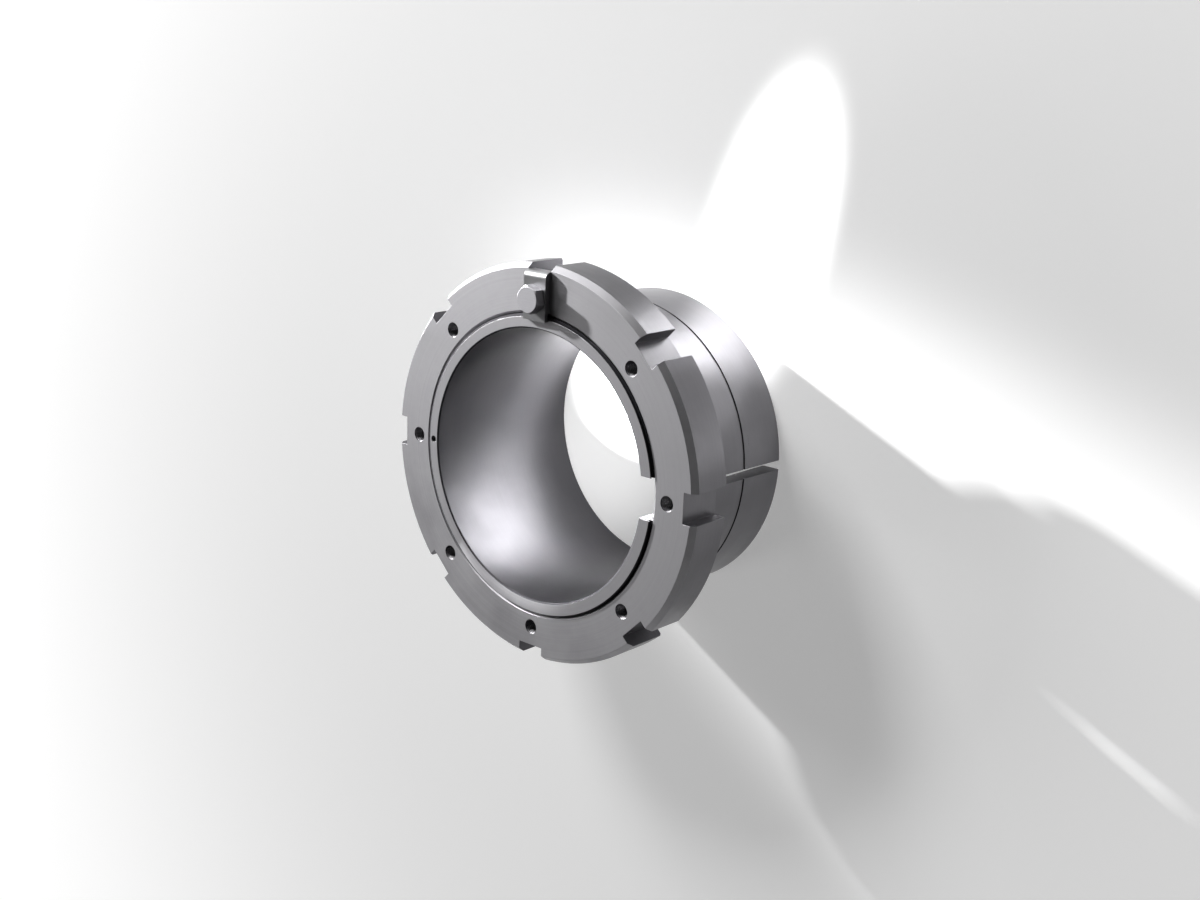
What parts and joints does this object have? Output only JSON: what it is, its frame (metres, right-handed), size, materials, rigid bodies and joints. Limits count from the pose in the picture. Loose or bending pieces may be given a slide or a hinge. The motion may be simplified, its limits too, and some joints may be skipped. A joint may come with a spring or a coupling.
{
  "type": "bearing adapter sleeve",
  "caption": "Slit sleeve with a tapered seat and plain bore, with a slotted lock nut, locking clip and bolt, which clamps a tapered-bore bearing on a plain shaft.",
  "frame": {"origin": "centre of the sleeve's large end face, on which it stands", "axes": "+Z along the bore to the nut; +X through the slit and the notch; +Y through the locking clip"},
  "size_m": [0.2912, 0.2912, 0.152],
  "materials": {
    "turned_steel": "fine turned and ground steel, bare",
    "nut_steel": "turned and milled steel, bare",
    "clip_steel": "bent strip steel, smooth",
    "bolt_steel": "cold headed steel, smooth"
  },
  "bodies": {
    "sleeve": {"sleeve": "turned_steel"},
    "nut": {"lock_nut": "nut_steel", "locking_clip": "clip_steel", "clip_bolt": "bolt_steel"}
  },
  "joints": [
    {"name": "nut_turn", "type": "hinge", "parent": "sleeve", "child": "nut", "pos_m": [0, 0, 0.122], "axis": [0, 0, 1], "continuous": true}
  ]
}
